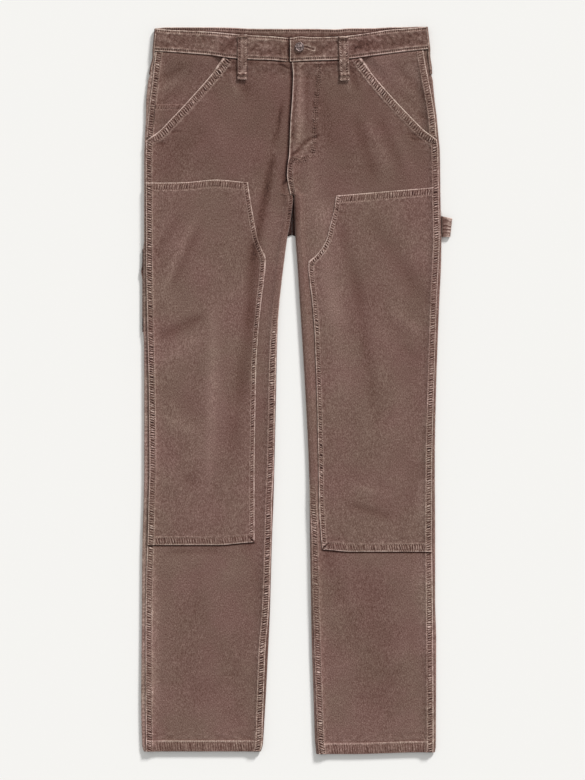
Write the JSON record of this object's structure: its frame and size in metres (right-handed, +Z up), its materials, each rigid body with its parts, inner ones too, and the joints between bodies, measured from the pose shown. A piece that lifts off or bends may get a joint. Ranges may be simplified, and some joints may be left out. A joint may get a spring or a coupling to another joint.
{
  "type": "carpenter pants",
  "caption": "Straight-leg carpenter work pants lying flat, front up, with patched knees, slanted pockets, a hammer loop and a metal button.",
  "frame": {"origin": "middle of the garment's outline, on the surface that it lies on", "axes": "+X to the wearer's left, +Y from the hems to the waist, +Z up out of the front"},
  "size_m": [0.467, 1.0912, 0.0098],
  "materials": {
    "canvas": "matte, washed",
    "facing": "matte, washed",
    "button": "dark, satin"
  },
  "bodies": {
    "root": {"right_back": "canvas", "left_back": "canvas", "right_front": "canvas", "left_front": "canvas", "right_pocket_facing": "facing", "left_pocket_facing": "facing", "coin_pocket": "facing", "right_knee_panel": "canvas", "left_knee_panel": "canvas", "waistband": "canvas", "right_belt_loop": "canvas", "left_belt_loop": "canvas", "right_side_loop": "canvas", "left_side_loop": "canvas", "hammer_loop": "canvas", "tool_pocket": "canvas", "button": "button"}
  },
  "joints": []
}
